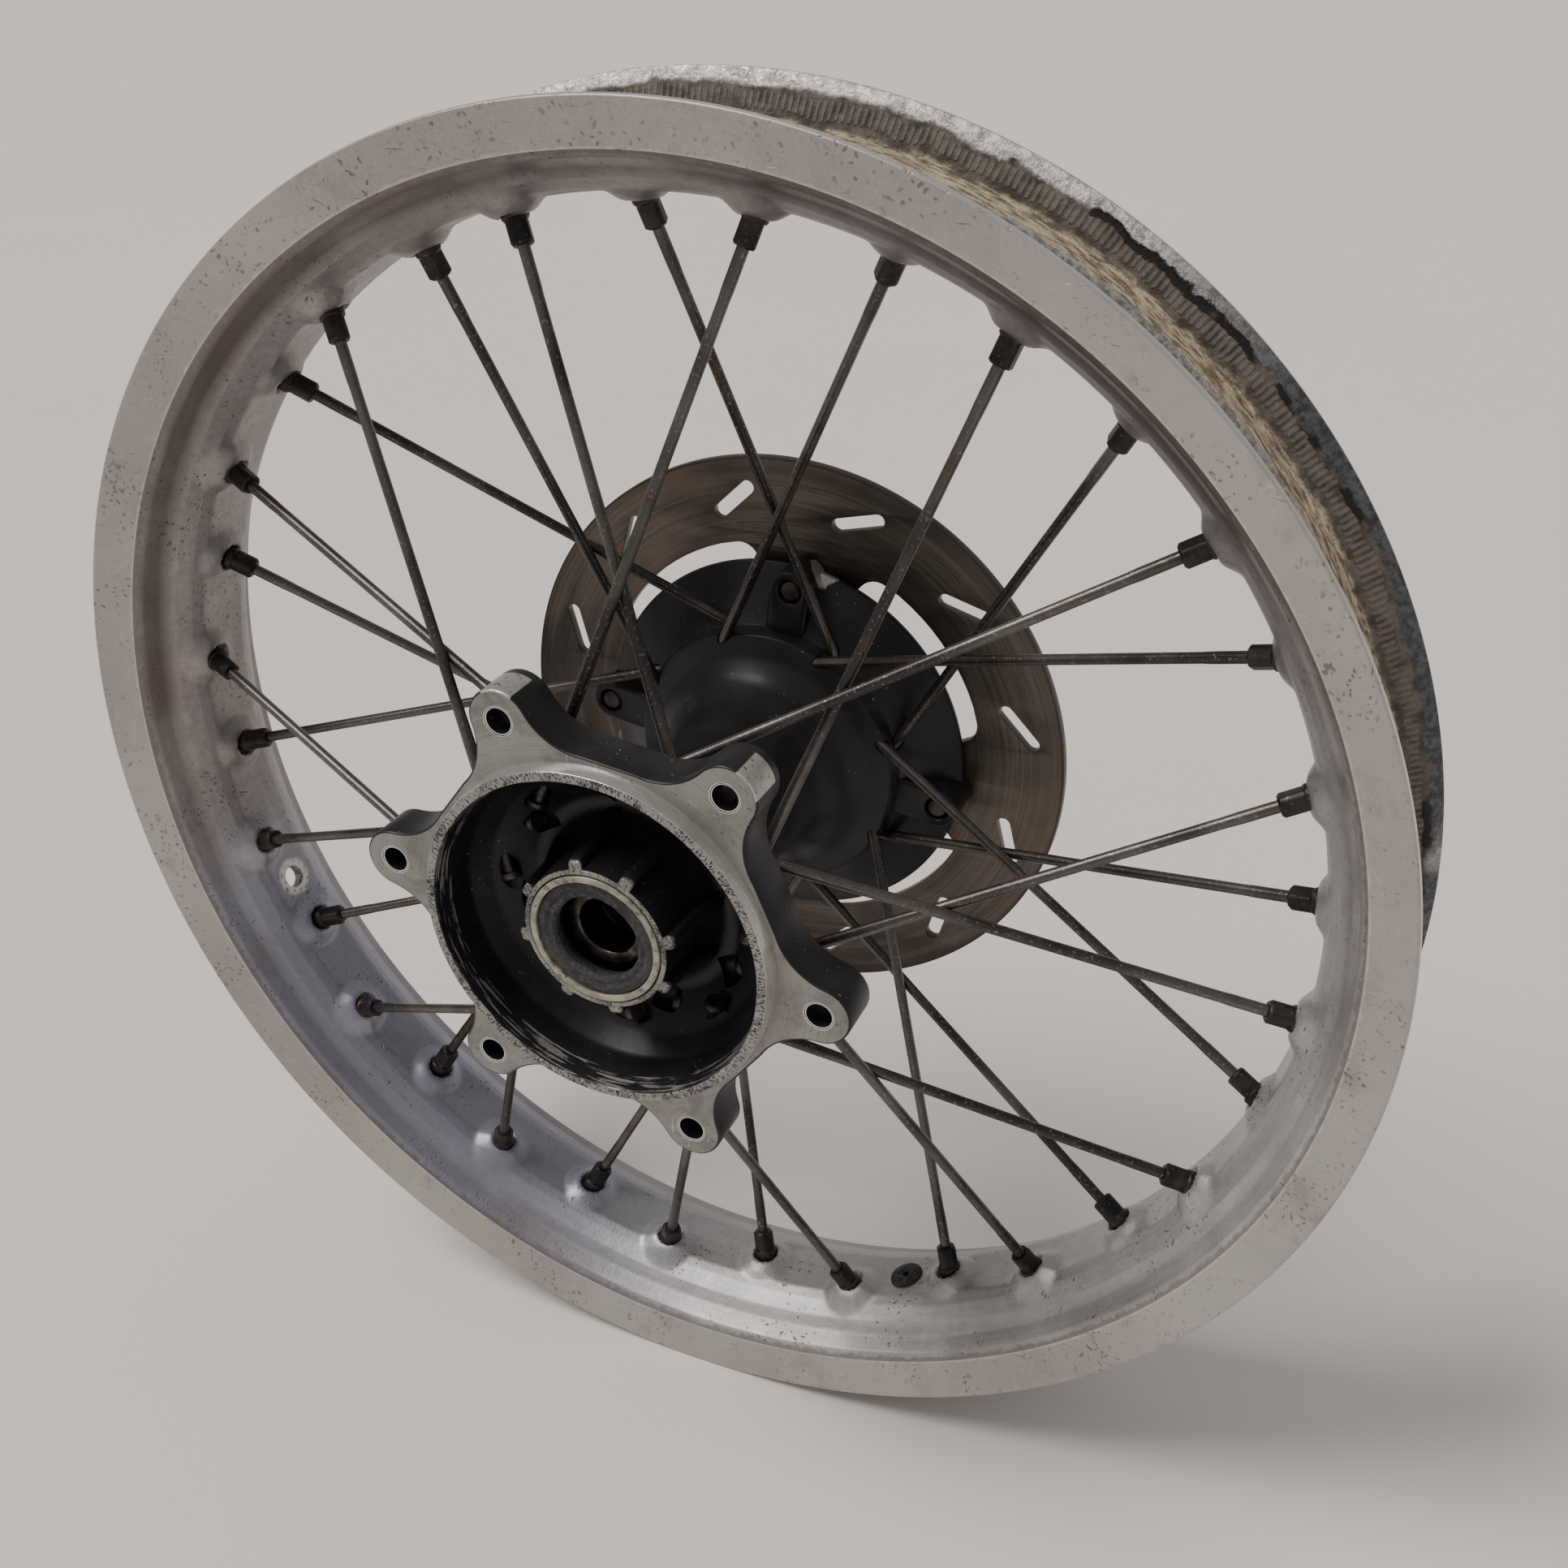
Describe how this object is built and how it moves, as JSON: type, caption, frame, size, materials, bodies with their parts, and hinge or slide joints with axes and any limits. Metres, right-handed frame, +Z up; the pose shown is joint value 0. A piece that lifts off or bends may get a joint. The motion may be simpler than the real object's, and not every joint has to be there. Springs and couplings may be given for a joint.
{
  "type": "spoked motorcycle rear wheel",
  "caption": "Laced motorcycle rear wheel without tyre: aluminium rim, crossed spokes, black hub with lobed sprocket flange, slotted brake disc and open axle bearings.",
  "frame": {"origin": "on the axle line, in the middle of the rim's width", "axes": "+Y along the axle from the sprocket side to the brake disc side, +Z up, +X to the right as seen from the sprocket side"},
  "size_m": [0.485, 0.1666, 0.485],
  "materials": {
    "rim": "worn silver anodised aluminium with corrosion on the tyre side",
    "hub_paint": "satin black paint on cast aluminium, bare machined faces",
    "disc_steel": "brown tarnished steel with circular pad marks",
    "spoke_steel": "dull zinc plated steel, oily and rusted in places",
    "bolt_steel": "dark plated steel",
    "bearing_steel": "ground bearing steel",
    "olive_plate": "olive passivated zinc, scuffed",
    "seal_rubber": "dry cracked black rubber",
    "tube_alloy": "plain turned aluminium"
  },
  "bodies": {
    "axle_core": {"sprocket_side_inner_race": "bearing_steel", "disc_side_inner_race": "bearing_steel", "bearing_spacer_tube": "tube_alloy"},
    "wheel": {"rim_arc_1": "rim", "rim_arc_2": "rim", "rim_arc_3": "rim", "rim_arc_4": "rim", "rim_arc_5": "rim", "rim_arc_6": "rim", "hub_sprocket_flange": "hub_paint", "hub_sprocket_web": "hub_paint", "hub_sprocket_boss": "hub_paint", "hub_barrel": "hub_paint", "hub_disc_dish": "hub_paint", "hub_disc_boss": "hub_paint", "brake_disc": "disc_steel", "disc_bolt_1": "bolt_steel", "disc_bolt_2": "bolt_steel", "disc_bolt_3": "bolt_steel", "disc_bolt_4": "bolt_steel", "spoke_01": "spoke_steel", "spoke_02": "spoke_steel", "spoke_03": "spoke_steel", "spoke_04": "spoke_steel", "spoke_05": "spoke_steel", "spoke_06": "spoke_steel", "spoke_07": "spoke_steel", "spoke_08": "spoke_steel", "spoke_09": "spoke_steel", "spoke_10": "spoke_steel", "spoke_11": "spoke_steel", "spoke_12": "spoke_steel", "spoke_13": "spoke_steel", "spoke_14": "spoke_steel", "spoke_15": "spoke_steel", "spoke_16": "spoke_steel", "spoke_17": "spoke_steel", "spoke_18": "spoke_steel", "spoke_19": "spoke_steel", "spoke_20": "spoke_steel", "spoke_21": "spoke_steel", "spoke_22": "spoke_steel", "spoke_23": "spoke_steel", "spoke_24": "spoke_steel", "spoke_25": "spoke_steel", "spoke_26": "spoke_steel", "spoke_27": "spoke_steel", "spoke_28": "spoke_steel", "spoke_29": "spoke_steel", "spoke_30": "spoke_steel", "spoke_31": "spoke_steel", "spoke_32": "spoke_steel", "sprocket_side_outer_race": "bearing_steel", "disc_side_outer_race": "bearing_steel", "bearing_retainer": "olive_plate", "sprocket_side_dust_seal": "seal_rubber", "disc_side_dust_seal": "seal_rubber"},
    "sprocket_cage": {"sprocket_side_ball_cage": "bearing_steel"},
    "disc_cage": {"disc_side_ball_cage": "bearing_steel"}
  },
  "joints": [
    {"name": "wheel_spin", "type": "hinge", "parent": "axle_core", "child": "wheel", "pos_m": [0, 0, 0], "axis": [0, 1, 0], "continuous": true},
    {"name": "sprocket_cage_spin", "type": "hinge", "parent": "axle_core", "child": "sprocket_cage", "pos_m": [0, -0.071, 0], "axis": [0, 1, 0], "continuous": true},
    {"name": "disc_cage_spin", "type": "hinge", "parent": "axle_core", "child": "disc_cage", "pos_m": [0, 0.063, 0], "axis": [0, 1, 0], "continuous": true}
  ],
  "couplings": [
    {"joint": "sprocket_cage_spin", "follows": "wheel_spin", "ratio": 0.6104},
    {"joint": "disc_cage_spin", "follows": "wheel_spin", "ratio": 0.6104}
  ]
}
